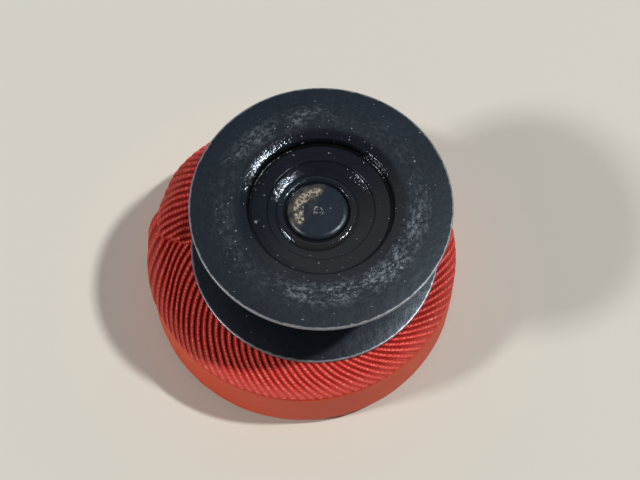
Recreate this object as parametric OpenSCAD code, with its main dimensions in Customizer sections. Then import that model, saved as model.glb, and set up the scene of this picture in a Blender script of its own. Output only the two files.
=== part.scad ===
// A ribbon rosette for a lapel, with a spool-shaped stud on its back.
// It lies face down: the smooth face rests on Z = 0 and the stud points up along +Z.
// The origin is the middle of the face. All lengths are in millimetres.

/* [Rosette] */
// Radius over the ribbed ribbon, the widest part of the rosette
rosette_r = 8; // [8:0.05:8.4]
// Height from the face to the crest of the ribbed ribbon
rosette_h = 4.18; // [4.14:0.01:4.2]
// Radius of the flat middle of the face, on which the rosette rests
face_flat_r = 6.1; // [5:0.1:6.4]
// Height of the rounded edge of the face
face_edge_h = 0.6; // [0.5:0.05:0.65]
// Thickness of the smooth face cloth
cloth_t = 0.2; // [0.14:0.01:0.2]
// Thickness of the ribbed ribbon
ribbon_t = 0.22; // [0.15:0.01:0.24]
// Radius at which the gathering thread holds the ribbon's inner edge
gather_r = 2.9; // [2.8:0.05:3.1]
// Where the ribbon's lapped end stops, measured round +Z from +X
lap_from = 118; // [90:1:130]
// Angle that the lapped end covers
lap_angle = 54; // [40:1:60]

/* [Stud] */
// Radius of both flanges
flange_r = 6.35; // [6:0.05:6.4]
// Thickness of the flange metal
flange_t = 0.3; // [0.25:0.01:0.32]
// Height of the top of the back flange
stud_top = 10; // [9.8:0.05:11]
// Height of the top of the front flange
front_top = 4.58; // [4.56:0.01:4.6]
// Distance of the stud's axis from the rosette's
stud_x = 0.8; // [0.6:0.05:0.9]
// How far each flange sits off the stud's axis, one to each side
flange_shift = 0.15; // [0:0.01:0.15]
// How far the front flange also sits off the axis across that direction
front_aside = 0.26; // [0:0.02:0.28]
// Radius of the cup's mouth in the back flange
cup_r = 3.55; // [3.4:0.05:3.7]
// Radius of the step half way down the cup
cup_step_r = 2.75; // [2.6:0.05:2.85]
// Depth of the cup's floor below the flange
cup_depth = 1; // [0.9:0.02:1.04]
// Outer radius of the neck
neck_r = 1.6; // [1.5:0.02:1.64]
// Radius of the rivet's head
rivet_head_r = 1.46; // [1.4:0.01:1.48]
// Radius of the rivet's shank, which turns in the collet
rivet_r = 1; // [0.9:0.02:1]

/* [Hidden] */
$fn = 96;

// Clearances: between pieces that stay still, and round the turning shank
gap = 0.04;
running_gap = 0.05;

// The rosette, from the face to the back
wall_r = rosette_r - 0.1;
wall_top = 3.74;
pad_t = 0.48;
shell_t = 0.22;
shell_r = wall_r - cloth_t - gap;
shell_floor = 0.75;
shell_top = wall_top - cloth_t - gap;
hem_bottom = 3.1;
collet_z = 2.7;
collet_t = 0.3;
collet_r = shell_r - shell_t - gap - cloth_t - gap;
filler_hole_r = 2.4;
filler_z = shell_floor + shell_t + gap;

// The ribbed ribbon: its crest, and where it meets the smooth wall
crest_r = 6.5;
nose_z = wall_top + gap;
roll_r = 5.9;
roll_half_w = 1.15;
roll_z = 3.48;
roll_half_h = rosette_h - ribbon_t - 2 * gap - roll_z;
lap_lift = 0.06;
lap_t = 0.2;
lap_low = 40;
thread_r = 0.1;

// The stud
cup_wall = 0.28;
floor_z = stud_top - cup_depth;
floor_hole_r = neck_r + 0.02;
step_z = stud_top - 0.55 * cup_depth;
edge_round = 0.1;
tube_bore_r = rivet_r + running_gap;
tube_bottom = collet_z + collet_t + running_gap;
rim_r = neck_r + 0.37;
rim_h = 0.17;
head_top = floor_z + 0.28;
head_shift = [-0.04, 0.04, 0];
pip_r = 0.2;
washer_t = 0.22;
washer_top = collet_z - running_gap;
tail_r = 1.5;
tail_t = 0.38;

// Points of a quarter ellipse from the top (crest) out and down to its end (nose)
function quarter(centre, half_w, half_h, from = 90, to = 0, steps = 10) =
    [for (i = [0 : steps])
        let (a = from + (to - from) * i / steps)
        centre + [half_w * cos(a), half_h * sin(a)]];

function backwards(points) = [for (i = [len(points) - 1 : -1 : 0]) points[i]];

module turned(points) {
    rotate_extrude() polygon(points);
}

module on_stud(shift = 0, aside = 0) {
    translate([stud_x + shift, aside, 0]) children();
}

// Smooth cloth drawn over the face and the side, and turned in over the shell's edge
module face_cloth() {
    outer = quarter([face_flat_r, face_edge_h], wall_r - face_flat_r, -face_edge_h);
    inner = quarter([face_flat_r, face_edge_h], wall_r - cloth_t - face_flat_r,
                    cloth_t - face_edge_h);
    hem_out = shell_r - shell_t - gap;
    color("orangered")
        turned(concat(
            [[0, 0]], outer, [[wall_r, wall_top], [hem_out - cloth_t, wall_top]],
            [[hem_out - cloth_t, hem_bottom], [hem_out, hem_bottom]],
            [[hem_out, wall_top - cloth_t], [wall_r - cloth_t, wall_top - cloth_t]],
            backwards(inner), [[0, cloth_t]]));
}

// Felt between the cloth and the shell, which softens the face
module face_pad() {
    low = cloth_t + gap;
    pad_r = shell_r - 0.35;
    color("seashell")
        turned([[0, low], [face_flat_r, low], [pad_r, low + pad_t / 2],
                [pad_r, low + pad_t - gap], [0, low + pad_t - gap]]);
}

// Pressed tin shell that gives the rosette its shape
module face_shell() {
    corner = 0.15;
    color("silver")
        turned([[0, shell_floor], [shell_r - corner, shell_floor], [shell_r, shell_floor + corner],
                [shell_r, shell_top], [shell_r - shell_t, shell_top],
                [shell_r - shell_t, shell_floor + shell_t], [0, shell_floor + shell_t]]);
}

// Card packing in the shell, with a hole that clears the rivet's tail
module card_filler() {
    color("burlywood")
        difference() {
            translate([0, 0, filler_z])
                cylinder(h = collet_z - gap - filler_z, r = shell_r - shell_t - gap);
            on_stud()
                translate([0, 0, filler_z - 1])
                    cylinder(h = collet_z, r = filler_hole_r);
        }
}

// Steel back plate: the stud's shank turns in its hole
module back_collet() {
    color("gray")
        difference() {
            translate([0, 0, collet_z]) cylinder(h = collet_t, r = collet_r);
            on_stud()
                translate([0, 0, collet_z - 1])
                    cylinder(h = collet_t + 2, r = rivet_r + running_gap);
        }
}

// Roll of cotton under the ribbon, which rounds the shoulder
module shoulder_roll() {
    color("ivory")
        turned(concat(
            quarter([roll_r, roll_z], roll_half_w, roll_half_h, 180, 0, 16),
            [[roll_r + roll_half_w, roll_z - roll_half_h], [roll_r - roll_half_w, roll_z - roll_half_h]]));
}

// Ribbed ribbon laid round the back, drawn in at the middle and ending over the side wall
module rib_ribbon() {
    crest = quarter([crest_r, nose_z], rosette_r - crest_r, rosette_h - nose_z);
    under = quarter([crest_r, nose_z], rosette_r - ribbon_t - crest_r,
                    rosette_h - nose_z - ribbon_t);
    color("firebrick")
        turned(concat(
            [[gather_r, 3.45], [gather_r + 0.9, 3.9], [5, rosette_h - 0.06]], crest, backwards(under),
            [[5, rosette_h - 0.06 - ribbon_t], [gather_r + 1.1, 3.9 - ribbon_t], [gather_r + 0.2, 3.25]]));
}

// End of the ribbon, folded under and lapped over its own start
module ribbon_end() {
    half_w = rosette_r - crest_r;
    half_h = rosette_h - nose_z;
    low = quarter([crest_r, nose_z], half_w + lap_lift, half_h + lap_lift, 90, lap_low);
    high = quarter([crest_r, nose_z], half_w + lap_lift + lap_t, half_h + lap_lift + lap_t, 90, lap_low);
    color("firebrick")
        rotate([0, 0, lap_from])
            rotate_extrude(angle = lap_angle) polygon(concat(high, backwards(low)));
}

// Thread run through the ribbon's inner edge and drawn tight
module gather_thread() {
    color("darkred")
        rotate_extrude() translate([gather_r - thread_r - gap, 3.45]) circle(r = thread_r);
}

// Back flange: a pressed disc with a stepped cup, whose floor is pierced for the neck
module back_flange() {
    top = [[flange_r - edge_round, stud_top], [flange_r, stud_top - edge_round]];
    cup_out = [[floor_hole_r, floor_z], [cup_step_r - 0.2, floor_z],
               [cup_step_r, floor_z + 0.15], [cup_step_r, step_z - 0.08], [cup_step_r + 0.1, step_z],
               [cup_r - 0.25, step_z + 0.05], [cup_r - 0.1, step_z + 0.2],
               [cup_r, stud_top - 0.15], [cup_r + 0.15, stud_top]];
    cup_in = [[cup_r + 0.15 + cup_wall, stud_top - flange_t],
              [cup_r + cup_wall, stud_top - flange_t - 0.15],
              [cup_r + cup_wall - 0.05, step_z - cup_wall + 0.15], [cup_r - 0.1, step_z - cup_wall - 0.05],
              [cup_step_r + cup_wall, floor_z - 0.1], [cup_step_r, floor_z - flange_t],
              [floor_hole_r, floor_z - flange_t]];
    color("darkslategray")
        on_stud(flange_shift)
            difference() {
                rotate_extrude()
                    polygon(concat([[0, floor_z]], cup_out, top,
                                   [[flange_r, stud_top - flange_t]], cup_in,
                                   [[0, floor_z - flange_t]]));
                translate([-flange_shift, 0, floor_z - 1]) cylinder(h = 2, r = floor_hole_r);
            }
}

// Front flange: a plain pressed disc on the neck, just clear of the ribbon
module front_flange() {
    low = front_top - flange_t;
    color("darkslategray")
        difference() {
            on_stud(-flange_shift, front_aside)
                rotate_extrude()
                    polygon([[0, low], [flange_r - edge_round, low], [flange_r, low + edge_round],
                             [flange_r, front_top - edge_round], [flange_r - edge_round, front_top],
                             [0, front_top]]);
            on_stud() translate([0, 0, low - 1]) cylinder(h = 2, r = floor_hole_r);
        }
}

// Neck: a tube that spaces the flanges, with its top rolled over the cup's floor
module neck_tube() {
    lip = floor_z + 0.02;
    color("darkslategray")
        on_stud()
            rotate_extrude()
                polygon([[tube_bore_r, tube_bottom], [neck_r, tube_bottom], [neck_r, lip],
                         [rim_r, lip], [rim_r, lip + 0.08], [rim_r - 0.09, lip + rim_h],
                         [neck_r + 0.1, lip + rim_h], [rivet_head_r + 0.08, lip + 0.05],
                         [rivet_head_r + 0.08, floor_z - 0.04], [tube_bore_r, floor_z - 0.04]]);
}

// Rivet: its head lies in the cup with a small pip in the middle, and its tail is spread inside
module rivet() {
    shoulder = floor_z - 0.02;
    tail_z = washer_top - washer_t - gap - tail_t;
    color("dimgray")
        on_stud() {
            translate(head_shift)
                rotate_extrude()
                    polygon([[0, shoulder], [rivet_head_r, shoulder], [rivet_head_r, head_top - 0.1],
                             [rivet_head_r - 0.08, head_top], [pip_r, head_top + 0.01],
                             [pip_r / 2, head_top + 0.06], [0, head_top + 0.06]]);
            translate([0, 0, tail_z]) cylinder(h = shoulder + 0.1 - tail_z, r = rivet_r);
            translate([0, 0, tail_z]) cylinder(h = tail_t, r = tail_r);
        }
}

// Washer under the collet, which the rivet's tail holds
module clinch_washer() {
    color("silver")
        on_stud()
            difference() {
                translate([0, 0, washer_top - washer_t]) cylinder(h = washer_t, r = 2.1);
                translate([0, 0, washer_top - 1]) cylinder(h = 2, r = rivet_r + 0.03);
            }
}

face_cloth();
face_pad();
face_shell();
card_filler();
back_collet();
shoulder_roll();
rib_ribbon();
ribbon_end();
gather_thread();
back_flange();
front_flange();
neck_tube();
rivet();
clinch_washer();
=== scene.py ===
# %% [markdown]
# # A ribbon rosette with a spool-shaped stud
# This lesson dresses a small lapel rosette. A CAD frame already holds its true sizes: a round
# cushion covered in red silk lies face down, and a black lacquered stud, shaped like a spool, is
# riveted to its back. Each step takes one piece, says what it is on the real object, and makes it
# in the place that the frame gives. Lengths are in millimetres until a piece is finished, and then
# one scaling by `MM` puts the piece into metres.

# %% Load the frame
import math

import bmesh
import bpy
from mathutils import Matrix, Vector, noise


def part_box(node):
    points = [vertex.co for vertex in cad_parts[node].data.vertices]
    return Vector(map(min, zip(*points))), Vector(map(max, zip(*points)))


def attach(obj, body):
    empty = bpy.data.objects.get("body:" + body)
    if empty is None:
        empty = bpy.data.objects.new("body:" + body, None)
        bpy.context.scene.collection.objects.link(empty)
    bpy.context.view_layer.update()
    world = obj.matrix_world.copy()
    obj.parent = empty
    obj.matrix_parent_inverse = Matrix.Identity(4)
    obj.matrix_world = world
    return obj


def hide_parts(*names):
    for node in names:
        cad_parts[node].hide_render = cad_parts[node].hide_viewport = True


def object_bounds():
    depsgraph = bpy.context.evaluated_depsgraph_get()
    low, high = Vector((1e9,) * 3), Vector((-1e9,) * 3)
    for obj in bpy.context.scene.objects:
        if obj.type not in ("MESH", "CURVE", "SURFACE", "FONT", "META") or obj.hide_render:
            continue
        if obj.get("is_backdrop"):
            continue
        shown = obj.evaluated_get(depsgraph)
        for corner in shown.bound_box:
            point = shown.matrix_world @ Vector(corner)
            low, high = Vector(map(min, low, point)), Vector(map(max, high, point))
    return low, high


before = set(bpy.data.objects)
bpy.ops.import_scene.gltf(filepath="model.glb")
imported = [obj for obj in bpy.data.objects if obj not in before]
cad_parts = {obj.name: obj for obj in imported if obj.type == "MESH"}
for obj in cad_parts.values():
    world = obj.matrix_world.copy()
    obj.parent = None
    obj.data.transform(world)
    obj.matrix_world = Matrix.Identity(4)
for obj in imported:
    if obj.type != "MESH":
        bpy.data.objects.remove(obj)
cad_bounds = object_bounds()
MM = 0.001


# %% [markdown]
# ## Places from the frame
# A node's box tells where the piece is. For a round piece the middle of the box is its axis and
# half the box's width is its radius, so no place has to be typed in by hand.

# %% Axis, radius and levels of each round node
def round_place(node):
    """Axis (x, y), radius, bottom and top of a round node, in millimetres."""
    low, high = (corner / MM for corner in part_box(node))
    axis = ((low.x + high.x) / 2, (low.y + high.y) / 2)
    return axis, (high.x - low.x) / 2, low.z, high.z


back_axis, flange_r, _, stud_top = round_place("back_flange")
front_axis, _, front_low, front_top = round_place("front_flange")
neck_axis, rim_r, neck_low, rim_top = round_place("neck_tube")
_, ribbon_r, _, ribbon_top = round_place("rib_ribbon")
_, wall_r, _, wall_top = round_place("face_cloth")
lap_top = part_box("ribbon_end")[1].z / MM
print(f"flange radius {flange_r:.2f}, rosette radius {ribbon_r:.2f}, height {stud_top:.2f}")

# %% [markdown]
# ## Camera, light and floor
# A small thing is looked at from close by through a long lens, and the near clipping distance of
# the camera has to be shorter than usual, or the camera would cut the object away. Two soft lamps
# stand to the right and to the left. The room round them, which fills the shadows, comes after the
# helpers for materials, because it is a small net of nodes too.

# %% Camera
CAMERA_LENS = 88.9
CAMERA_DISTANCE = 74.8
CAMERA_ELEVATION = math.radians(66.7)
AIM = Vector((0.9, -1.9, stud_top))

camera_data = bpy.data.cameras.new("camera")
camera_data.lens = CAMERA_LENS
camera_data.clip_start = 5 * MM
camera_data.clip_end = 10
camera = bpy.data.objects.new("camera", camera_data)
bpy.context.collection.objects.link(camera)
camera_back = Vector((0, -math.cos(CAMERA_ELEVATION), math.sin(CAMERA_ELEVATION)))
camera.location = (AIM + camera_back * CAMERA_DISTANCE) * MM
camera.rotation_euler = (math.pi / 2 - CAMERA_ELEVATION, 0, 0)
bpy.context.scene.camera = camera
print("camera at", [round(c, 4) for c in camera.location])


# %% Lamps and world
def soft_lamp(name, azimuth, elevation, distance, size, watts):
    """A square lamp that looks at the rosette; azimuth is measured round +Z from +X."""
    lamp = bpy.data.lights.new(name, "AREA")
    lamp.size = size
    lamp.energy = watts
    holder = bpy.data.objects.new(name, lamp)
    bpy.context.collection.objects.link(holder)
    a, e = math.radians(azimuth), math.radians(elevation)
    towards = Vector((math.cos(a) * math.cos(e), math.sin(a) * math.cos(e), math.sin(e)))
    holder.location = towards * distance
    holder.rotation_euler = towards.to_track_quat("Z", "Y").to_euler()
    print(name, "of", watts, "watts at azimuth", azimuth)


soft_lamp("lamp_right", azimuth=0, elevation=60.5, distance=0.6, size=0.03, watts=2.25)
soft_lamp("lamp_left", azimuth=198, elevation=40, distance=0.6, size=0.075, watts=1.6)
bpy.context.scene.view_settings.view_transform = "Standard"

# %% [markdown]
# ## Helpers for materials
# A procedural material is a small net of nodes. These helpers add one node each and give back its
# output, so that a finish reads as a few lines: where, what pattern, what colour. All patterns are
# measured in millimetres, which makes their scales easy to think about.


# %% Node helpers
def new_material(name, **sockets):
    """A material with its tree and shader; sockets set the shader's own constant values."""
    material = bpy.data.materials.new(name)
    material.use_nodes = True
    shader = material.node_tree.nodes["Principled BSDF"]
    for socket, value in sockets.items():
        shader.inputs[socket.replace("_", " ")].default_value = value
    print("material", name)
    return material, material.node_tree, shader


def add(tree, kind, inputs=(), **settings):
    """One node. inputs gives sockets a value or another node's output, and settings are the
    node's own."""
    node = tree.nodes.new(kind)
    for setting, value in settings.items():
        setattr(node, setting, value)
    for socket, value in dict(inputs).items():
        if isinstance(value, bpy.types.NodeSocket):
            tree.links.new(value, node.inputs[socket])
        else:
            node.inputs[socket].default_value = value
    return node


def place_mm(tree, axis=(0, 0), stretch=(1, 1, 1)):
    """Object coordinates in millimetres, counted from a piece's axis. stretch above 1 makes a
    pattern finer in that direction."""
    coords = add(tree, "ShaderNodeTexCoord").outputs["Object"]
    centre = (-axis[0] * stretch[0], -axis[1] * stretch[1], 0)
    scale = tuple(side / MM for side in stretch)
    mapping = {"Vector": coords, "Location": centre, "Scale": scale}
    return add(tree, "ShaderNodeMapping", mapping).outputs["Vector"]


def maths(tree, operation, a, b=0.0, clamp=False):
    """One calculation with two numbers or outputs."""
    node = add(tree, "ShaderNodeMath", {0: a, 1: b}, operation=operation, use_clamp=clamp)
    return node.outputs["Value"]


def blotches(tree, where, scale, detail=3.0, roughness=0.55, distortion=0.0):
    """Soft noise; scale is in features per millimetre."""
    sockets = {"Vector": where, "Scale": scale, "Detail": detail,
               "Roughness": roughness, "Distortion": distortion}
    return add(tree, "ShaderNodeTexNoise", sockets).outputs["Fac"]


def step_up(tree, value, low, high):
    """0 below low, 1 above high, smooth between."""
    node = add(tree, "ShaderNodeMapRange",
               {"Value": value, "From Min": low, "From Max": high}, interpolation_type="SMOOTHSTEP")
    return node.outputs["Result"]


def band(tree, value, middle, width):
    """1 at middle, falling to 0 at width to each side."""
    distance = maths(tree, "ABSOLUTE", maths(tree, "SUBTRACT", value, middle))
    return step_up(tree, distance, width, 0.0)


def mixed(tree, amount, first, second):
    """Colour first where amount is 0 and second where it is 1. The Mix node has sockets for every
    kind of data, and those for colours are its inputs 6 and 7 and its output 2."""
    node = add(tree, "ShaderNodeMix", data_type="RGBA")
    tree.links.new(amount, node.inputs["Factor"])
    for socket, value in zip((node.inputs[6], node.inputs[7]), (first, second)):
        if isinstance(value, bpy.types.NodeSocket):
            tree.links.new(value, socket)
        else:
            socket.default_value = (*value, 1)
    return node.outputs[2]


def level_between(tree, amount, low, high):
    """A number from low to high as amount goes from 0 to 1."""
    sockets = {"Value": amount, "To Min": low, "To Max": high}
    return add(tree, "ShaderNodeMapRange", sockets).outputs["Result"]


def bump(tree, shader, height, depth_mm, strength=1.0, under=None):
    """Raises the surface by height times depth_mm, on top of an earlier bump if one is given."""
    sockets = {"Height": height, "Distance": depth_mm * MM, "Strength": strength}
    if under:
        sockets["Normal"] = under
    out = add(tree, "ShaderNodeBump", sockets).outputs["Normal"]
    tree.links.new(out, shader.inputs["Normal"])
    return out


# %% [markdown]
# ## The room's light
# A black glossy thing shows what it reflects more than its own colour. So the world isn't one grey:
# it is dim and warm all round, and cooler and brighter behind the rosette, like the far wall of a
# room. The direction of a ray is the world's Generated coordinate, and its Y says how far back.

# %% World
DIM_ROOM = (0.092, 0.078, 0.064)
FAR_WALL = (0.235, 0.285, 0.335)

world = bpy.data.worlds.new("studio")
world.use_nodes = True
sky = world.node_tree
ray = add(sky, "ShaderNodeTexCoord").outputs["Generated"]
backwards = add(sky, "ShaderNodeSeparateXYZ", {"Vector": ray}).outputs["Y"]
far_wall = step_up(sky, backwards, 0.1, 0.75)
sky.links.new(mixed(sky, far_wall, DIM_ROOM, FAR_WALL), sky.nodes["Background"].inputs["Color"])
bpy.context.scene.world = world
print("world", world.name, "with a brighter wall behind")

# %% [markdown]
# ## Measures of the stud
# The back flange has a stepped cup in its middle, and its upper side is a little crowned. The
# finish follows the same measures as the shape: a ring is scuffed pale where the flange stands
# highest, and shade is painted into the corner under the cup's lip. So the measures come before both.
# The neck's rolled ring sits a little off the neck's own axis.

# %% Measures of the stud
METAL_T = 0.3
CROWN_R = 4.55
CUP_R = 3.55
LEDGE_R = 2.64
LEDGE_Z = stud_top - 0.65
ring_axis = (neck_axis[0] - 0.05, neck_axis[1] - 0.03)
print(f"cup of radius {CUP_R}, its ledge at height {LEDGE_Z:.2f}, crown at radius {CROWN_R}")

# %% [markdown]
# ## Black lacquer
# The stud is pressed from thin steel and dipped in black lacquer. Old lacquer is never one black:
# it has a faint orange-peel surface, grey dust and small chips, a pale scuffed ring where the
# flange stands highest, and bright metal along its edge. Inside the cup, where nothing rubs, it has
# kept its gloss. Two colour masks paint light instead: painted shade in the corner of the cup, and
# a grey layer on the cup's near side that is partly dust and partly painted reflection of the room.
# Each of these is one mask here, and the masks drive the colour, the roughness and how metallic the
# surface is.


# %% Masks round an axis
def from_axis(tree, where):
    """The level vector from the axis to a point, and its length, which is the radius."""
    flat = add(tree, "ShaderNodeVectorMath", {0: where, 1: (1, 1, 0)}, operation="MULTIPLY")
    radius = add(tree, "ShaderNodeVectorMath", {0: flat.outputs[0]}, operation="LENGTH")
    return flat.outputs[0], radius.outputs["Value"]


def reach(tree, flat, way):
    """How far a point lies from the axis in the direction way, which is (x, y)."""
    node = add(tree, "ShaderNodeVectorMath", {0: flat, 1: (*way, 0)}, operation="DOT_PRODUCT")
    return node.outputs["Value"]


def specks(tree, where, per_mm, size, share):
    """Small round spots: size is their radius in cells, share is how many cells have one."""
    cells = add(tree, "ShaderNodeTexVoronoi", {"Vector": where, "Scale": per_mm})
    spot = step_up(tree, cells.outputs["Distance"], size, size * 0.55)
    chance = add(tree, "ShaderNodeSeparateColor", {"Color": cells.outputs["Color"]}).outputs["Red"]
    return maths(tree, "MULTIPLY", spot, step_up(tree, chance, 1 - share, 1 - share + 0.02))


# %% [markdown]
# ## The scuffed ring
# What rubbed the flange went round with it, so its scratches run round the ring. Noise makes such
# streaks when it reads the direction from the axis, which changes slowly along the ring, and the
# radius, which changes fast across it. The ring is strongest on the near side.


# %% Scuffed ring
STREAKS_ROUND = 17
STREAKS_PER_MM = 6
RING_FAR_WAY = (-0.53, 0.85)


def scuffs(tree, where, flat, radius, scuff_r):
    """The pale ring at scuff_r, and a faint haze on both sides of it."""
    across = reach(tree, flat, RING_FAR_WAY)
    near_side = step_up(tree, across, -1.2, -4.2)
    far_side = maths(tree, "MULTIPLY", step_up(tree, across, 3.9, 4.6), 0.6)
    two_sides = level_between(tree, maths(tree, "MAXIMUM", near_side, far_side), 0.16, 1.4)
    patchy = step_up(tree, blotches(tree, where, 0.7, detail=2), 0.32, 0.6)
    patchy = maths(tree, "MULTIPLY", patchy, two_sides)
    way = add(tree, "ShaderNodeVectorMath", {0: flat}, operation="NORMALIZE").outputs[0]
    spoke = add(tree, "ShaderNodeSeparateXYZ", {"Vector": way}).outputs
    round_ring = add(tree, "ShaderNodeCombineXYZ",
                     {"X": maths(tree, "MULTIPLY", spoke["X"], STREAKS_ROUND),
                      "Y": maths(tree, "MULTIPLY", spoke["Y"], STREAKS_ROUND),
                      "Z": maths(tree, "MULTIPLY", radius, STREAKS_PER_MM)}).outputs[0]
    streaks = blotches(tree, round_ring, 1.0, detail=8, roughness=0.85)
    grain = step_up(tree, streaks, 0.46, 0.62)
    ring = band(tree, radius, scuff_r, 0.85)
    scuff = maths(tree, "MULTIPLY", maths(tree, "MULTIPLY", ring, grain), patchy)
    haze = maths(tree, "MULTIPLY", band(tree, radius, scuff_r + 0.4, 1.9), grain)
    return maths(tree, "ADD", scuff, maths(tree, "MULTIPLY", haze, 0.06), clamp=True)


# %% Lacquer
CUP_FAR_WAY = (-0.5, 0.85)
DEEP_BLACK = (0.0035, 0.005, 0.008)
CLOUDY_BLACK = (0.010, 0.013, 0.020)
# Partly dust and partly painted reflection of the bright room, on the cup's near side.
DUST_AND_REFLECTION_GREY = (0.022, 0.0205, 0.0195)
SCUFF_GREY = (0.22, 0.245, 0.28)
SPECK_GREY = (0.50, 0.56, 0.64)
# Painted shade for the corner under the cup's lip.
CORNER_SHADE_BLACK = (0.0006, 0.0006, 0.0008)
BARE_STEEL = (0.36, 0.38, 0.41)


def lacquer(name, axis, edge_r=None, scuff_r=None, gloss_r=-1, corner=None, satin=0.36, darkness=1):
    """Black lacquer with dust and chips. The metal shows beyond radius edge_r, a scuffed ring lies
    at scuff_r, and inside gloss_r the lacquer has kept its gloss; on the near side there it has a grey
    layer that is partly dust and partly painted reflection. Elsewhere its roughness starts at satin.
    Shade is painted at corner, a radius and the height under which it starts. darkness multiplies
    the blacks, so above 1 they are a little paler."""
    material, tree, shader = new_material(name, Specular_IOR_Level=0.55,
                                          Specular_Tint=(0.74, 0.87, 1, 1))
    where = place_mm(tree, axis)
    flat, radius = from_axis(tree, where)
    fine = blotches(tree, where, 7, detail=4)
    colour = mixed(tree, blotches(tree, where, 0.5, detail=5),
                   tuple(darkness * c for c in DEEP_BLACK),
                   tuple(darkness * c for c in CLOUDY_BLACK))

    wobble = add(tree, "ShaderNodeTexNoise", {"Vector": where, "Scale": 9.0}).outputs["Color"]
    shaken = add(tree, "ShaderNodeVectorMath", {0: wobble, 1: (0.12, 0.12, 0.12), 2: where},
                 operation="MULTIPLY_ADD").outputs[0]
    dust = specks(tree, shaken, 4.5, 0.17, 0.09)
    chips = specks(tree, shaken, 1.3, 0.13, 0.16)
    marks = maths(tree, "MAXIMUM", dust, chips)

    away = reach(tree, flat, CUP_FAR_WAY)
    clean = level_between(tree, step_up(tree, away, -2.4, 0.8), 0.45 if scuff_r else 0.9, 1.0)
    inside = step_up(tree, radius, gloss_r + 0.35, gloss_r - 0.1)
    glossy = maths(tree, "MULTIPLY", inside, clean)
    # A grey layer on the near side of the cup: partly dust, partly painted reflection.
    dust_and_reflection_side = maths(tree, "MULTIPLY", inside, step_up(tree, away, 1.2, -1.8))
    dust_and_reflection_film = maths(tree, "MULTIPLY", dust_and_reflection_side, level_between(tree, fine, 0.55, 1.0))
    colour = mixed(tree, dust_and_reflection_film, colour, DUST_AND_REFLECTION_GREY)
    rough = level_between(tree, fine, satin, satin + 0.13)
    rough = maths(tree, "SUBTRACT", rough, maths(tree, "MULTIPLY", glossy, 0.32))
    if scuff_r:
        scuff = scuffs(tree, where, flat, radius, scuff_r)
        colour = mixed(tree, maths(tree, "MULTIPLY", scuff, 0.85), colour, SCUFF_GREY)
        more_dust = maths(tree, "MULTIPLY", band(tree, radius, scuff_r - 0.5, 1.7),
                          specks(tree, shaken, 5.5, 0.22, 0.13))
        marks = maths(tree, "MAXIMUM", marks, more_dust)
    tone = blotches(tree, where, 3, detail=2)
    colour = mixed(tree, maths(tree, "MULTIPLY", marks, tone, clamp=True), colour, SPECK_GREY)
    rough = maths(tree, "ADD", rough, maths(tree, "MULTIPLY", marks, 0.3), clamp=True)
    # Painted shade: the corner under the cup's lip is darkened in the colour.
    if corner:
        height = add(tree, "ShaderNodeSeparateXYZ", {"Vector": where}).outputs["Z"]
        corner_shade = maths(tree, "MULTIPLY", band(tree, radius, corner[0], 0.17),
                      step_up(tree, height, corner[1] + 0.1, corner[1] - 0.1))
        colour = mixed(tree, step_up(tree, corner_shade, 0.1, 0.6), colour, CORNER_SHADE_BLACK)
    if edge_r:
        chewed = blotches(tree, where, 3.2, detail=5)
        worn = step_up(tree, maths(tree, "ADD", radius, maths(tree, "MULTIPLY", chewed, 0.16)),
                       edge_r + 0.05, edge_r + 0.12)
        colour = mixed(tree, maths(tree, "MULTIPLY", worn, 0.75), colour, BARE_STEEL)
        tree.links.new(maths(tree, "MULTIPLY", worn, 0.6), shader.inputs["Metallic"])
    tree.links.new(colour, shader.inputs["Base Color"])
    tree.links.new(rough, shader.inputs["Roughness"])

    peel = bump(tree, shader, blotches(tree, where, 2.2, detail=2), 0.03, 0.5)
    grainy = maths(tree, "MULTIPLY", blotches(tree, where, 8, detail=2), glossy)
    peel = bump(tree, shader, grainy, 0.021, 1.0, under=peel)
    peel = bump(tree, shader, fine, 0.006, 0.8, under=peel)
    bump(tree, shader, marks, 0.012, 1.0, under=peel)
    return material


# %% Lacquer of the flanges and the neck
back_lacquer = lacquer("back_flange_lacquer", back_axis, edge_r=flange_r - 0.07,
                       scuff_r=CROWN_R + 0.1, gloss_r=CUP_R + 0.35,
                       corner=(CUP_R - 0.1, stud_top - 0.4))
front_lacquer = lacquer("front_flange_lacquer", front_axis, edge_r=flange_r - 0.09, satin=0.26)
neck_lacquer = lacquer("neck_lacquer", neck_axis, gloss_r=2.5, darkness=1.3)

# %% [markdown]
# ## Turned pieces
# A flange, the neck and the rivet are all round. The outline of a round piece is drawn once as a
# chain of corners, its corners are rounded with a vertex bevel, and the chain is spun round the
# axis. Rounded corners matter on metal, because an edge shows by the light that it catches.


# %% Lathe
def outline(bm, corners, closed):
    """A chain of edges in the XZ plane. Each corner is (radius, height) or (radius, height, round)."""
    verts = [bm.verts.new((c[0], 0, c[1])) for c in corners]
    ends = verts[1:] + verts[:1] if closed else verts[1:]
    for a, b in zip(verts, ends):
        bm.edges.new((a, b))
    for corner, vert in zip(corners, verts):
        if len(corner) > 2:
            bmesh.ops.bevel(bm, geom=[vert], offset=corner[2], segments=5, profile=0.5,
                            affect="VERTICES", material=-1)


def spun(bm, steps):
    """Spins every edge round Z and closes the seam and the poles, with faces pointing outwards."""
    bmesh.ops.spin(bm, geom=bm.verts[:] + bm.edges[:], cent=(0, 0, 0), axis=(0, 0, 1), steps=steps,
                   angle=2 * math.pi, use_merge=True)
    bmesh.ops.remove_doubles(bm, verts=bm.verts, dist=1e-4)
    bmesh.ops.recalc_face_normals(bm, faces=bm.faces)


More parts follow.
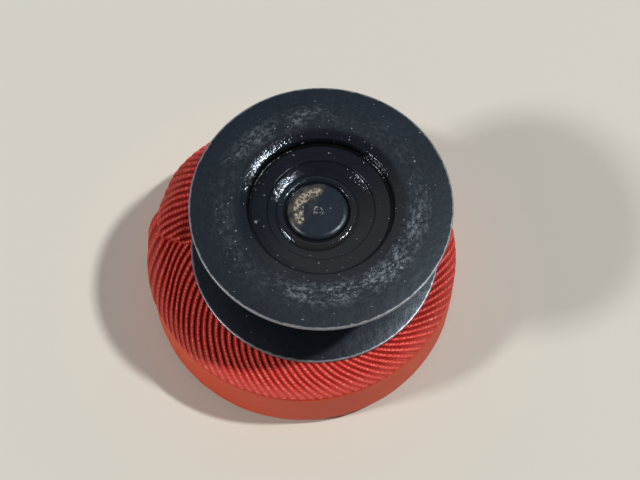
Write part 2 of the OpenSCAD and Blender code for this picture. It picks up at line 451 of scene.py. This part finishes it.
def finished(bm, name, material, body, node, axis=(0, 0)):
    """Moves the mesh to its axis, scales it to metres and makes it a piece that stands for node."""
    bmesh.ops.translate(bm, verts=bm.verts, vec=(axis[0], axis[1], 0))
    bmesh.ops.scale(bm, verts=bm.verts, vec=(MM, MM, MM))
    mesh = bpy.data.meshes.new(name)
    bm.to_mesh(mesh)
    bm.free()
    mesh.shade_smooth()
    mesh.materials.append(material)
    piece = bpy.data.objects.new(name, mesh)
    bpy.context.collection.objects.link(piece)
    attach(piece, body)
    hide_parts(*([node] if isinstance(node, str) else node))
    print(name, len(mesh.polygons), "faces")
    return piece


def smooth(x, low=0.0, high=1.0):
    """0 below low, 1 above high, smooth between."""
    t = min(1, max(0, (x - low) / (high - low)))
    return t * t * (3 - 2 * t)


def hole_moved(bm, disc_axis, hole_axis, inner_r, outer_r):
    """Moves a disc's hole to its own axis: everything within inner_r goes all the way, and the
    disc between there and outer_r less and less."""
    for vert in bm.verts:
        share = 1 - smooth(math.hypot(vert.co.x, vert.co.y), inner_r, outer_r)
        vert.co.x += share * (hole_axis[0] - disc_axis[0])
        vert.co.y += share * (hole_axis[1] - disc_axis[1])


def dented(bm, depth, per_mm, seed):
    """Pushes the mesh in and out a little, as hand-pressed metal is never quite even."""
    for vert in bm.verts:
        push = noise.noise(vert.co * per_mm + Vector((seed, seed, 0)))
        vert.co.z += depth * push


# %% [markdown]
# ## The back flange
# The back flange is a pressed disc. Its cup has a round lip, a straight wall and a flat ledge, and
# a second, smaller step leads to its floor, which is pierced for the neck. Heights are counted
# down from the top of the stud, and at the floor from the top of the neck's rim. The underside
# follows the upper side, lower by the metal's thickness.

# %% Back flange
FLOOR_R = 2.12
floor_z = rim_top - 0.19
pierced_r = rim_r - 0.35
back_outline = [
    (flange_r, stud_top - METAL_T, 0.05), (flange_r, stud_top - 0.1, 0.04),
    (CROWN_R, stud_top, 0.5), (CUP_R + 0.45, stud_top - 0.015, 0.2),
    (CUP_R + 0.02, stud_top - 0.16, 0.06), (CUP_R - 0.03, LEDGE_Z + 0.02, 0.1),
    (LEDGE_R, LEDGE_Z - 0.02, 0.03), (LEDGE_R - 0.05, LEDGE_Z - 0.13, 0.04),
    (FLOOR_R, floor_z, 0.18), (pierced_r, floor_z), (pierced_r, floor_z - METAL_T),
    (2.8, floor_z - METAL_T, 0.2), (3.0, LEDGE_Z - METAL_T, 0.1),
    (CUP_R + METAL_T - 0.05, LEDGE_Z - METAL_T, 0.2), (CUP_R + METAL_T, stud_top - METAL_T, 0.15)]

bm = bmesh.new()
outline(bm, back_outline, closed=True)
spun(bm, 192)
hole_moved(bm, back_axis, ring_axis, inner_r=1.8, outer_r=2.2)
dented(bm, 0.02, 0.35, seed=3)
finished(bm, "back_flange_disc", back_lacquer, "stud", "back_flange", back_axis)

# %% [markdown]
# ## The front flange
# The front flange is the plain twin of the back one. It lies just above the ribbon, so only a
# crescent of it shows. Towards its edge it is pressed down a little, like a very shallow dish, and
# that slope is why the crescent catches the light of the right-hand lamp.

# %% Front flange
front_outline = [
    (flange_r, front_low, 0.03), (flange_r, front_top - 0.18, 0.05), (CROWN_R + 0.3, front_top, 0.3),
    (pierced_r, front_top, 0.05), (pierced_r, front_low)]

bm = bmesh.new()
outline(bm, front_outline, closed=True)
spun(bm, 192)
hole_moved(bm, front_axis, ring_axis, inner_r=2, outer_r=4.5)
dented(bm, 0.02, 0.3, seed=11)
finished(bm, "front_flange_disc", front_lacquer, "stud", "front_flange",
         front_axis)

# %% [markdown]
# ## The neck and its rolled rim
# The neck is a short tube. Its top is rolled outwards over the cup's floor, which locks the flange,
# and the roll shows as a raised ring. The tube is drawn with its bore, because the rivet goes
# through it.

# %% Neck
BORE_R = 1.06
neck_r = rim_r - 0.37
neck_outline = [
    (BORE_R, neck_low), (neck_r, neck_low, 0.05), (neck_r, rim_top - 0.25, 0.05),
    (rim_r + 0.06, rim_top - 0.17, 0.03), (rim_r - 0.03, rim_top, 0.17),
    (neck_r + 0.06, rim_top, 0.09), (neck_r - 0.06, rim_top - 0.2, 0.05), (BORE_R, rim_top - 0.22)]

bm = bmesh.new()
outline(bm, neck_outline, closed=True)
spun(bm, 128)
dented(bm, 0.015, 0.9, seed=5)
finished(bm, "neck_tube_rolled", neck_lacquer, "stud", "neck_tube", ring_axis)

# %% [markdown]
# ## The rivet
# The rivet holds everything together. Its head was rubbed by cloth and fingers, so the lacquer has
# gone in flakes on one side, and the priming coat shows through in cream. A punch left a small
# crater in the middle. The mask for the flakes is a ring, cut off to one side and broken by noise.

# %% Rivet finish
HEAD_R = 1.49
WORN_WAY = (-0.87, 0.5)
HANDLED_BROWN = (0.075, 0.066, 0.052)
PIP_RUB_AND_HIGHLIGHT_GREY = (0.30, 0.30, 0.31)
# Rubbed metal and painted highlight round the crater.
PRIMER_DARK = (0.20, 0.16, 0.11)
PRIMER_CREAM = (0.62, 0.54, 0.42)
_, _, tail_low, rivet_top = round_place("rivet")
head_axis = (neck_axis[0], neck_axis[1] - 0.03)
head_top = rivet_top - 0.06


def rivet_finish():
    """Lacquer flaked to primer on the worn side; round the crater rubbed grey and a painted highlight.
    """
    material = lacquer("rivet_lacquer", head_axis, satin=0.27, darkness=1.7)
    tree = material.node_tree
    shader = tree.nodes["Principled BSDF"]
    where = place_mm(tree, head_axis)
    flat, radius = from_axis(tree, where)
    one_side = step_up(tree, reach(tree, flat, WORN_WAY), 0.1, 0.6)
    flakes = step_up(tree, blotches(tree, where, 5.5, detail=6, roughness=0.75), 0.47, 0.55)
    part_ring = maths(tree, "MULTIPLY", band(tree, radius, 0.95, 0.42), one_side)
    rubbed = maths(tree, "MULTIPLY", step_up(tree, part_ring, 0.25, 0.6), flakes, clamp=True)
    handled = maths(tree, "MULTIPLY", one_side, step_up(tree, blotches(tree, where, 2.5), 0.3, 0.7))
    # Round the crater: rubbed metal, and a paler grey that is also a painted highlight.
    pip_rub_and_highlight = maths(tree, "MULTIPLY", band(tree, radius, 0.17, 0.08),
                     step_up(tree, blotches(tree, where, 6, detail=3), 0.42, 0.56))
    primer = mixed(tree, blotches(tree, where, 9), PRIMER_DARK, PRIMER_CREAM)
    colour = shader.inputs["Base Color"].links[0].from_socket
    colour = mixed(tree, handled, colour, HANDLED_BROWN)
    colour = mixed(tree, pip_rub_and_highlight, colour, PIP_RUB_AND_HIGHLIGHT_GREY)
    tree.links.new(mixed(tree, rubbed, colour, primer), shader.inputs["Base Color"])
    return material


# %% Rivet
SHANK_R = 1
TAIL_R = 1.5
rivet_outline = [
    (0, head_top - 0.03), (0.08, head_top, 0.02), (0.17, head_top + 0.1, 0.05),
    (0.27, head_top, 0.04), (HEAD_R - 0.16, head_top, 0.12), (HEAD_R, head_top - 0.12, 0.07),
    (HEAD_R, head_top - 0.28), (SHANK_R, head_top - 0.28), (SHANK_R, tail_low + 0.38),
    (TAIL_R, tail_low + 0.3, 0.1), (TAIL_R, tail_low, 0.1), (0, tail_low)]

bm = bmesh.new()
outline(bm, rivet_outline, closed=False)
spun(bm, 96)
dented(bm, 0.012, 1.4, seed=9)
finished(bm, "rivet_head", rivet_finish(), "stud", "rivet", head_axis)

# %% [markdown]
# ## Ribbed silk
# The ribbon is a ribbed silk: thick cords lie across it, and fine silk threads pass over and under
# them. The cords are real geometry. The fine threads are far too small for that, so they are a bump
# that follows the piece's own UV map, where U counts the cords and V is the way along a cord in
# millimetres. Light and shade are painted into the colour: bright on top of a cord, nearly black-red
# between two cords, painted shade where a thread sinks, and painted glints and sparkles on the
# crests. Its sheen is drawn out to one side, which the shader calls anisotropic, and a second UV
# map, in which the way along a cord comes first, gives the direction of that.

# %% Ribbed silk material
THREAD_PITCH = 0.125
THREAD_SLANT = 1.35
# Painted shade in the hollows between cords and painted light on their crests.
SHADED_HOLLOW_RED = ((0.20, 0.005, 0.004), (0.30, 0.009, 0.008))
LIT_CREST_RED = ((0.78, 0.040, 0.032), (0.92, 0.066, 0.050))
# Painted highlight of the threads on the crests.
PAINTED_GLINT_PINK = (1.0, 0.33, 0.26)
# Painted shade where a thread sinks between its crossings.
SHADED_DIP_RED = (0.34, 0.012, 0.009)
# Painted sparkle highlights.
PAINTED_SPARKLE_PINK = (1.0, 0.48, 0.38)
FADED_RED = (0.56, 0.070, 0.054)


def ribbed_silk(edge_v):
    """edge_v is how far across the ribbon, in millimetres, its outer fold lies. The cords are worn
    flat and dull there."""
    material, tree, shader = new_material("ribbed_silk", Sheen_Weight=0.08, Sheen_Roughness=0.4,
                                          Sheen_Tint=(1, 0.3, 0.22, 1), Specular_IOR_Level=0.7,
                                          Specular_Tint=(1, 0.42, 0.36, 1), Anisotropic=0.75)
    cord_way = add(tree, "ShaderNodeTangent", direction_type="UV_MAP", uv_map="along_cord")
    tree.links.new(cord_way.outputs["Tangent"], shader.inputs["Tangent"])
    uv = add(tree, "ShaderNodeUVMap", uv_map="flat_ribbon").outputs["UV"]
    parts = add(tree, "ShaderNodeSeparateXYZ", {"Vector": uv}).outputs
    where = place_mm(tree)
    turn = maths(tree, "MULTIPLY", parts["X"], 2 * math.pi)
    crest = maths(tree, "SUBTRACT", 0.5, maths(tree, "MULTIPLY", maths(tree, "COSINE", turn), 0.5))
    drift = blotches(tree, where, 1.2, detail=2)
    along = maths(tree, "ADD", maths(tree, "DIVIDE", parts["Y"], THREAD_PITCH),
                  maths(tree, "MULTIPLY", drift, 4.0))
    slant = maths(tree, "ADD", along, maths(tree, "MULTIPLY", parts["X"], THREAD_SLANT))
    thread = maths(tree, "ABSOLUTE", maths(tree, "SINE", maths(tree, "MULTIPLY", slant, math.pi)))

    patches = blotches(tree, where, 0.45, detail=4)
    # Painted light and shade: crests bright, hollows between cords nearly black-red.
    painted_crest_light = step_up(tree, crest, -0.05, 0.9)
    colour = mixed(tree, painted_crest_light, mixed(tree, patches, *SHADED_HOLLOW_RED), mixed(tree, patches, *LIT_CREST_RED))
    # Painted glints where a thread crosses the crest of a cord.
    painted_glint = maths(tree, "MULTIPLY", step_up(tree, thread, 0.5, 0.95),
                  step_up(tree, blotches(tree, where, 4, detail=5, roughness=0.75), 0.4, 0.62))
    painted_glint = maths(tree, "MULTIPLY", painted_glint, step_up(tree, crest, 0.4, 0.92))
    colour = mixed(tree, maths(tree, "MULTIPLY", painted_glint, 0.62), colour, PAINTED_GLINT_PINK)
    # Painted shade where a thread sinks between its crossings.
    painted_dip_shade = maths(tree, "MULTIPLY", step_up(tree, thread, 0.5, 0.0), 0.4)
    colour = mixed(tree, painted_dip_shade, colour, SHADED_DIP_RED)
    # Painted sparkles: small highlights on the crests.
    painted_sparkle = step_up(tree, blotches(tree, where, 17, detail=1), 0.6, 0.68)
    painted_sparkle = maths(tree, "MULTIPLY", painted_sparkle, step_up(tree, crest, 0.45, 0.95))
    colour = mixed(tree, maths(tree, "MULTIPLY", painted_sparkle, 0.55), colour, PAINTED_SPARKLE_PINK)
    edge = step_up(tree, parts["Y"], edge_v - 0.9, edge_v - 0.1)
    colour = mixed(tree, maths(tree, "MULTIPLY", edge, 0.6), colour, FADED_RED)
    tree.links.new(colour, shader.inputs["Base Color"])
    tree.links.new(level_between(tree, painted_glint, 0.46, 0.24), shader.inputs["Roughness"])
    threads = bump(tree, shader, maths(tree, "MULTIPLY", thread, painted_crest_light), 0.022, 1.0)
    bump(tree, shader, blotches(tree, where, 12, detail=4), 0.016, 0.8, under=threads)
    return material


# %% [markdown]
# ## How the ribbon lies
# The ribbon goes round the back and a little way over its own start. Its inner edge is gathered
# under the front flange, it swells over the cotton roll, and at the rim it is turned under. The
# outline across the ribbon is a smooth curve through a few points, and each stretch of it gets as
# many rows as its bend needs.

# %% Outline across the ribbon, from the gathered edge to the end of the turned hem
GATHER_R = 2.95
CREST_R = 6.5
NOSE_R = 7.88
crest_z = ribbon_top - 0.03
NOSE_Z = wall_top + 0.12


def catmull(a, b, c, d, t):
    """A point on the smooth curve from b to c."""
    return 0.5 * (2 * b + (c - a) * t + (2 * a - 5 * b + 4 * c - d) * t ** 2
                  + (3 * b - 3 * c + d - a) * t ** 3)


def across_ribbon(rows_per_span):
    """Points (radius, 0, height) across the ribbon, on a smooth curve through its shape points."""
    shape = [(GATHER_R, 3.1), (GATHER_R + 0.1, 3.5), (3.7, 3.88), (5, crest_z - 0.05),
             (CREST_R - 0.4, crest_z), (7.1, crest_z - 0.04), (7.6, crest_z - 0.12),
             (NOSE_R - 0.03, NOSE_Z + 0.07), (NOSE_R - 0.03, NOSE_Z),
             (NOSE_R - 0.12, NOSE_Z - 0.03), (7.5, NOSE_Z + 0.04), (6.7, crest_z - 0.17),
             (5.2, crest_z - 0.2), (3.25, 3.6)]
    points = [Vector((r, 0, z)) for r, z in shape]
    points = [2 * points[0] - points[1], *points, 2 * points[-1] - points[-2]]
    spans = zip(points, points[1:], points[2:], points[3:], rows_per_span)
    curve = [catmull(a, b, c, d, i / rows) for a, b, c, d, rows in spans for i in range(rows)]
    return [*curve, points[-2]]


width_points = across_ribbon((1, 2, 3, 5, 8, 5, 6, 4, 3, 2, 2, 2, 2))

# %% [markdown]
# ## The cords, one after another
# The cords don't lie straight across: the ribbon is wound at a slant, so they swirl. Just after the
# lap they lean most, and further on between 35 and 50 degrees. Azimuths are in degrees and simply
# count on past 360, so from START + 360 on they belong to the last stretch, which lies over the
# first. Each cord starts where the one before it ends, with a few to spare for the fold.

# %% Lean of the cords, and their number
START = 128
LAP_END = 534
SPARE_FOR_FOLD = 14


def lean(azimuth):
    """The slope of the cords at an azimuth in degrees: sideways over outwards."""
    after_lap = 1.4 * (1 - smooth(azimuth, 150, 215)) + 0.5 * (1 - smooth(azimuth, 200, 262))
    far_side = 0.5 * smooth(azimuth, 275, 345) - 0.5 * smooth(azimuth, 400, 510)
    return 0.7 + after_lap + far_side


def cord_pitch(azimuth):
    """Distance between cords in millimetres: they are pulled apart near the lap."""
    return 0.32 - 0.042 * smooth(azimuth, 220, 300) + 0.08 * smooth(azimuth, 440, 500)


cord_azimuths = [START]
while cord_azimuths[-1] < LAP_END + SPARE_FOR_FOLD:
    at = cord_azimuths[-1]
    spread = cord_pitch(at) * math.hypot(1, lean(at) + 0.1) / CREST_R
    cord_azimuths.append(at + math.degrees(spread))
cords = len(cord_azimuths) - 1

# %% [markdown]
# ## Laying the ribbon
# The flat ribbon is a grid with eight columns for each cord. Every vertex is raised by the round
# shape of its cord, and then laid round the rosette. The last stretch climbs over the first one,
# and its end is folded under: past the fold line a vertex goes round a small half circle and then
# back under the ribbon. What lies far under the fold can't be seen and is cut away.

# %% Measures of the ribbon's mesh
COLUMNS = 8
CORD_H = 0.115
FOLD_R = 0.18
TUCKED = 0.9
RIBBON_T = 0.07

normals = []
for i, point in enumerate(width_points):
    ahead = width_points[min(i + 1, len(width_points) - 1)] - width_points[max(i - 1, 0)]
    normals.append(Vector((-ahead.z, 0, ahead.x)).normalized())
crest_row = max(range(len(width_points)), key=lambda i: width_points[i].z)
twist = [0.0]
along_row = [0.0]
for a, b in zip(width_points, width_points[1:]):
    shrink = smooth(min(a.x, b.x), 3, 5.5)
    twist.append(twist[-1] + shrink * (b - a).length / b.x)
    along_row.append(along_row[-1] + (b - a).length)
twist = [value - twist[crest_row] for value in twist]
print(f"{len(twist)} rows, the crest in row {crest_row}")


# %% Shape of a cord and of the lap
def cord_height(row, phase):
    """The round shape of a cord; the cords flatten at the gathered edge and in the hem."""
    r = width_points[row].x
    full = smooth(r, 3.2, 5)
    if row > crest_row:
        full *= 1 - 0.7 * smooth(along_row[row] - along_row[crest_row], 0.95, 1.5)
    round_top = math.sin(math.pi * phase) ** 0.8
    return CORD_H * full * (round_top - 0.6)


def fold_azimuth(r):
    """Where the lapped end is folded: a line across the ribbon with a rounded outer corner."""
    line = LAP_END + 0.5 - 1.6 * (r - 5.8)
    return line - 14 * smooth(r, 7.3, 8.0) ** 2


def lap_lift(azimuth, r):
    """The last stretch rises over the first, more outside the flange than under it."""
    rise = smooth(azimuth, 462, 505)
    return rise * (0.05 + (lap_top - ribbon_top - 0.02) * smooth(r, 5.75, 6.5))


def start_dip(azimuth):
    """The first stretch lies deeper, where the lap presses on it."""
    return -0.15 * (1 - smooth(azimuth, 180, 222))


def bulge(azimuth):
    """How far the rim of the first stretch swells out round the lap's end, and how far the last
    stretch draws in before its fold."""
    swell = 0.18 + 0.3 * (1 - smooth(azimuth, 161, 178))
    swell *= smooth(azimuth, 148, 157) * (1 - smooth(azimuth, 184, 226))
    return swell - 0.2 * smooth(azimuth, 504, 521)


# %% Laying one vertex
def laid(row, column):
    """Where a vertex of the flat ribbon lies on the rosette, in millimetres, and how far it is
    past the fold line."""
    cord = min(column // COLUMNS, cords - 1)
    phase = column / COLUMNS - cord
    at = cord_azimuths[cord] + phase * (cord_azimuths[cord + 1] - cord_azimuths[cord])
    point, up = width_points[row], normals[row]
    curled = min(twist[row], 0.25) ** 2
    azimuth = at + math.degrees(lean(at) * twist[row] + curled)
    turn = math.radians(at)
    azimuth += 0.5 * noise.noise(Vector((math.cos(turn), math.sin(turn), row * 0.05)) * 3)
    height = cord_height(row, phase)
    raised = lap_lift(azimuth, point.x) + start_dip(azimuth)
    lift_way = Vector((0.5 * smooth(point.x, 6.5, 7.9), 0, 1))
    past = math.radians(azimuth - fold_azimuth(point.x)) * point.x
    if past > 0:
        angle = min(past / FOLD_R, math.pi)
        back = max(0, past - math.pi * FOLD_R)
        shift = (FOLD_R + height) * math.sin(angle) - back
        azimuth = fold_azimuth(point.x) + math.degrees(shift / point.x)
        drop = FOLD_R - (FOLD_R + height) * math.cos(angle)
        spot = point + lift_way * (raised - drop)
    else:
        spot = point + lift_way * raised + up * height
    spot.x += bulge(azimuth) * smooth(point.x, 6.9, 7.8)
    spot.z += 0.03 * noise.noise(Vector((azimuth * 0.02, point.x * 0.5, 4)))
    a = math.radians(azimuth)
    return Vector((spot.x * math.cos(a), spot.x * math.sin(a), spot.z)), past


# %% Ribbon
bm = bmesh.new()
rows = len(width_points)
bmesh.ops.create_grid(bm, x_segments=cords * COLUMNS, y_segments=rows - 1, size=1)
flat_uv = bm.loops.layers.uv.new("flat_ribbon")
cord_uv = bm.loops.layers.uv.new("along_cord")
grid_place = {}
for vert in bm.verts:
    column = round((vert.co.x + 1) / 2 * cords * COLUMNS)
    row = round((vert.co.y + 1) / 2 * (rows - 1))
    grid_place[vert] = (row, column)
for face in bm.faces:
    for loop in face.loops:
        row, column = grid_place[loop.vert]
        loop[flat_uv].uv = (column / COLUMNS, along_row[row])
        loop[cord_uv].uv = (along_row[row], column / COLUMNS)
hidden = set()
for vert, (row, column) in grid_place.items():
    vert.co, past = laid(row, column)
    if past > TUCKED:
        hidden.add(vert)
bmesh.ops.delete(bm, geom=[f for f in bm.faces if all(v in hidden for v in f.verts)],
                 context="FACES")
bmesh.ops.recalc_face_normals(bm, faces=bm.faces)
top_face = max(bm.faces, key=lambda f: f.calc_center_median().z)
if top_face.normal.z < 0:
    bmesh.ops.reverse_faces(bm, faces=bm.faces)
outer_row = max(range(rows), key=lambda i: width_points[i].x)
ribbon = finished(bm, "ribbed_ribbon", ribbed_silk(along_row[outer_row]), "rosette",
                  ["rib_ribbon", "ribbon_end"])
thickness = ribbon.modifiers.new("ribbon_thickness", "SOLIDIFY")
thickness.thickness = RIBBON_T * MM
thickness.offset = -1

# %% [markdown]
# ## Smooth silk
# The face and the side are covered with a plain satin, which has no ribs. Its threads are finer
# than the eye can tell apart, so it shows as a soft sheen with faint streaks that run round the
# side. It is more orange than the ribbed silk.


# %% Smooth silk material
WARP_PITCH = 0.085
WEFT_PITCH = 0.06


def smooth_silk():
    """Satin with streaks along U, which runs round the side of the piece's own UV map."""
    material, tree, shader = new_material("smooth_silk", Sheen_Weight=0.05, Sheen_Roughness=0.4,
                                          Sheen_Tint=(1, 0.35, 0.2, 1), Specular_IOR_Level=0.25)
    uv = add(tree, "ShaderNodeUVMap", uv_map="unrolled").outputs["UV"]
    streaky = add(tree, "ShaderNodeMapping", {"Vector": uv, "Scale": (0.35, 9, 1)}).outputs[0]
    streaks = blotches(tree, streaky, 1.0, detail=5, roughness=0.65)
    where = place_mm(tree)
    patches = blotches(tree, where, 0.35, detail=3)
    streaks = step_up(tree, streaks, 0.25, 0.75)
    colour = mixed(tree, streaks, (0.60, 0.056, 0.017), (0.78, 0.086, 0.027))
    colour = mixed(tree, maths(tree, "MULTIPLY", patches, 0.5), colour, (0.66, 0.056, 0.017))
    tree.links.new(colour, shader.inputs["Base Color"])
    tree.links.new(level_between(tree, streaks, 0.46, 0.58), shader.inputs["Roughness"])
    parts = add(tree, "ShaderNodeSeparateXYZ", {"Vector": uv}).outputs
    warp = maths(tree, "SINE", maths(tree, "MULTIPLY", parts["X"], 2 * math.pi / WARP_PITCH))
    weft = maths(tree, "SINE", maths(tree, "MULTIPLY", parts["Y"], 2 * math.pi / WEFT_PITCH))
    weave = bump(tree, shader, maths(tree, "MULTIPLY", warp, weft), 0.004, 0.6)
    bump(tree, shader, blotches(tree, where, 9, detail=5), 0.02, 0.8, under=weave)
    return material


# %% [markdown]
# ## The face cover
# One round piece of satin covers the face and the side. It is drawn tight over the felt, so the
# face is nearly flat with a rounded edge, and the side is straight. Where the cloth was pulled in,
# very shallow creases run over the edge. At the top it turns in under the ribbon.

# %% Outline of the face cover
CLOTH_T = 0.16
FACE_FLAT_R = 6.1
EDGE_H = 0.6
cover_top = wall_top + 0.05
face_edge = [(FACE_FLAT_R + (wall_r - FACE_FLAT_R) * math.sin(a), EDGE_H * (1 - math.cos(a)))
             for a in (math.radians(15 * i) for i in range(7))]
cover_outline = [
    (0, 0), *face_edge, (wall_r, 2.2), (wall_r - 0.01, cover_top, 0.09),
    (7.2, cover_top - 0.1, 0.06), (7.2, 3.2)]

bm = bmesh.new()
outline(bm, cover_outline, closed=False)
bmesh.ops.subdivide_edges(bm, edges=[e for e in bm.edges if e.calc_length() > 0.5], cuts=6)
spun(bm, 256)

# %% Creases over the edge and waves in the side
STILL_R = 6.2
for vert in bm.verts:
    r = math.hypot(vert.co.x, vert.co.y)
    turn = math.atan2(vert.co.y, vert.co.x)
    low_edge = smooth(r, 5.6, 7.6) * (1 - smooth(vert.co.z, 0.5, 1.6))
    crease = noise.noise(Vector((math.cos(turn), math.sin(turn), 0.2)) * 14)
    swell = 0.035 * noise.noise(Vector((math.cos(turn) * 2.5, math.sin(turn) * 2.5, vert.co.z * 0.5)))
    if r > STILL_R:
        stretch = 1 + (swell * smooth(vert.co.z, 0.3, 1.2) + 0.02 * crease * low_edge) / r
        vert.co.x *= stretch
        vert.co.y *= stretch

# %% Face cover with its unrolled UV map
unrolled = bm.loops.layers.uv.new("unrolled")
for face in bm.faces:
    turns = [math.atan2(loop.vert.co.y, loop.vert.co.x) for loop in face.loops]
    crossing = max(turns) - min(turns) > math.pi
    for loop, turn in zip(face.loops, turns):
        co = loop.vert.co
        around = turn + (2 * math.pi if crossing and turn < 0 else 0)
        on_side = co.z + wall_r - math.hypot(co.x, co.y)
        loop[unrolled].uv = (around * wall_r, on_side)
cover = finished(bm, "face_cover", smooth_silk(), "rosette", "face_cloth")
cloth = cover.modifiers.new("cloth_thickness", "SOLIDIFY")
cloth.thickness = CLOTH_T * MM
cloth.offset = -1

# %% [markdown]
# ## Padding
# Two soft pieces are out of sight: a felt pad under the face and a cotton roll under the ribbon.
# They are made as soft pieces too, with a little unevenness and a fibrous material, so that the
# rosette could be opened without showing a plain solid.


# %% Fibre material
def fibre(name, dark, light, per_mm):
    """Matted fibres; per_mm is how many of them lie in a millimetre."""
    material, tree, shader = new_material(name, Sheen_Weight=0.5, Specular_IOR_Level=0.2,
                                          Roughness=0.95)
    where = place_mm(tree)
    hairs = blotches(tree, where, per_mm, detail=8, roughness=0.8, distortion=1.5)
    clumps = blotches(tree, where, per_mm / 6, detail=3)
    shade = mixed(tree, maths(tree, "MULTIPLY", clumps, 0.4), dark, light)
    tree.links.new(mixed(tree, hairs, shade, light), shader.inputs["Base Color"])
    bump(tree, shader, hairs, 0.05, 0.8)
    return material


def uneven(bm, depth, per_mm):
    """Moves every vertex a little along its own normal."""
    bm.normal_update()
    for vert in bm.verts:
        vert.co += vert.normal * depth * noise.noise(vert.co * per_mm)


# %% Felt pad
_, pad_r, pad_low, pad_high = round_place("face_pad")
pad_outline = [(0, pad_low), (FACE_FLAT_R, pad_low), (pad_r, pad_low + 0.24, 0.08),
               (pad_r, pad_high, 0.1), (0, pad_high)]
bm = bmesh.new()
outline(bm, pad_outline, closed=False)
bmesh.ops.subdivide_edges(bm, edges=[e for e in bm.edges if e.calc_length() > 1], cuts=12)
spun(bm, 96)
uneven(bm, 0.015, 1.5)
felt = finished(bm, "felt_pad", fibre("felt", (0.55, 0.50, 0.42), (0.80, 0.76, 0.68), 6),
                "rosette", "face_pad")

# %% Cotton roll
_, roll_r, roll_low, roll_high = round_place("shoulder_roll")
ROLL_HALF_W = 1.15
ROLL_CORNERS = 24
roll_mid = (roll_low + roll_high) / 2
roll_half_h = (roll_high - roll_low) / 2
roll_outline = [(roll_r - ROLL_HALF_W * (1 + math.cos(a)), roll_mid + roll_half_h * math.sin(a))
                for a in (2 * math.pi * i / ROLL_CORNERS for i in range(ROLL_CORNERS))]
bm = bmesh.new()
outline(bm, roll_outline, closed=True)
spun(bm, 160)
uneven(bm, 0.03, 1.1)
roll = finished(bm, "cotton_roll", fibre("cotton", (0.62, 0.58, 0.5), (0.86, 0.83, 0.76), 5),
                "rosette", "shoulder_roll")

# %% [markdown]
# ## Pieces inside that keep their CAD shape
# The tin shell, the back plate, the washer, the card and the thread have the right shape already.
# They keep it and only get a finish: rubbed tin with faint rust, layered card and twisted thread.


# %% Finishes for the inner pieces
def dress(node, material):
    """Gives a CAD node's object its material."""
    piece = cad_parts[node]
    piece.data.materials.clear()
    piece.data.materials.append(material)
    print(node, "gets", material.name)


def tin(name, axis):
    """Rubbed tin plate with rust in patches."""
    material, tree, shader = new_material(name, Metallic=1.0)
    where = place_mm(tree, axis, stretch=(1, 1, 8))
    rubbed = blotches(tree, where, 3, detail=6, roughness=0.7)
    rust = step_up(tree, blotches(tree, where, 0.8, detail=5, roughness=0.7), 0.6, 0.74)
    colour = mixed(tree, rubbed, (0.42, 0.43, 0.44), (0.66, 0.66, 0.65))
    tree.links.new(mixed(tree, rust, colour, (0.22, 0.12, 0.07)), shader.inputs["Base Color"])
    rough = maths(tree, "ADD", level_between(tree, rubbed, 0.28, 0.5),
                  maths(tree, "MULTIPLY", rust, 0.35), clamp=True)
    tree.links.new(rough, shader.inputs["Roughness"])
    bump(tree, shader, rubbed, 0.006, 0.7)
    return material


def card():
    """Brown card in layers."""
    material, tree, shader = new_material("card", Roughness=0.9, Specular_IOR_Level=0.2)
    layers = blotches(tree, place_mm(tree, stretch=(0.3, 0.3, 14)), 1, detail=4)
    fibres = blotches(tree, place_mm(tree), 8, detail=6, roughness=0.7)
    colour = mixed(tree, layers, (0.33, 0.25, 0.15), (0.52, 0.42, 0.28))
    tree.links.new(mixed(tree, fibres, colour, (0.47, 0.39, 0.27)), shader.inputs["Base Color"])
    bump(tree, shader, fibres, 0.015, 0.6)
    return material


def twisted_thread():
    """Red thread with its twist as slanting bands."""
    material, tree, shader = new_material("twisted_thread", Roughness=0.6, Sheen_Weight=0.4)
    wave = add(tree, "ShaderNodeTexWave",
               {"Vector": place_mm(tree), "Scale": 2.6, "Distortion": 1.5, "Detail": 2.0},
               bands_direction="DIAGONAL").outputs["Fac"]
    tree.links.new(mixed(tree, wave, (0.07, 0.005, 0.005), (0.24, 0.018, 0.015)),
                   shader.inputs["Base Color"])
    bump(tree, shader, wave, 0.03, 0.8)
    return material


dress("face_shell", tin("shell_tin", (0, 0)))
dress("back_collet", tin("collet_tin", (0, 0)))
dress("clinch_washer", tin("washer_tin", neck_axis))
dress("card_filler", card())
dress("gather_thread", twisted_thread())

# %% [markdown]
# ## The floor
# A pale matte floor, a little warm, that takes the two soft shadows. It is marked as stage, so it
# isn't counted as part of the rosette.

# %% Floor
FLOOR_SIDE = 1.2
FLOOR_Z = -0.02
bm = bmesh.new()
bmesh.ops.create_grid(bm, x_segments=1, y_segments=1, size=FLOOR_SIDE / 2)
floor_mesh = bpy.data.meshes.new("floor")
bm.to_mesh(floor_mesh)
bm.free()
floor_material, _, _ = new_material("floor", Base_Color=(0.68, 0.655, 0.58, 1), Roughness=0.95,
                                    Specular_IOR_Level=0.1)
floor_mesh.materials.append(floor_material)
floor = bpy.data.objects.new("floor", floor_mesh)
floor.location.z = FLOOR_Z * MM
bpy.context.collection.objects.link(floor)
floor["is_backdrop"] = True

# %% [markdown]
# ## Sizes
# The sizes of the dressed model and of the CAD model are printed one under the other.

# %% Sizes and finish
boxes = {"cad": cad_bounds, "visual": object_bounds()}
sizes = {name: [list(corner) for corner in box] for name, box in boxes.items()}
for name, (low, high) in sizes.items():
    print(name, [round((b - a) / MM, 2) for a, b in zip(low, high)])
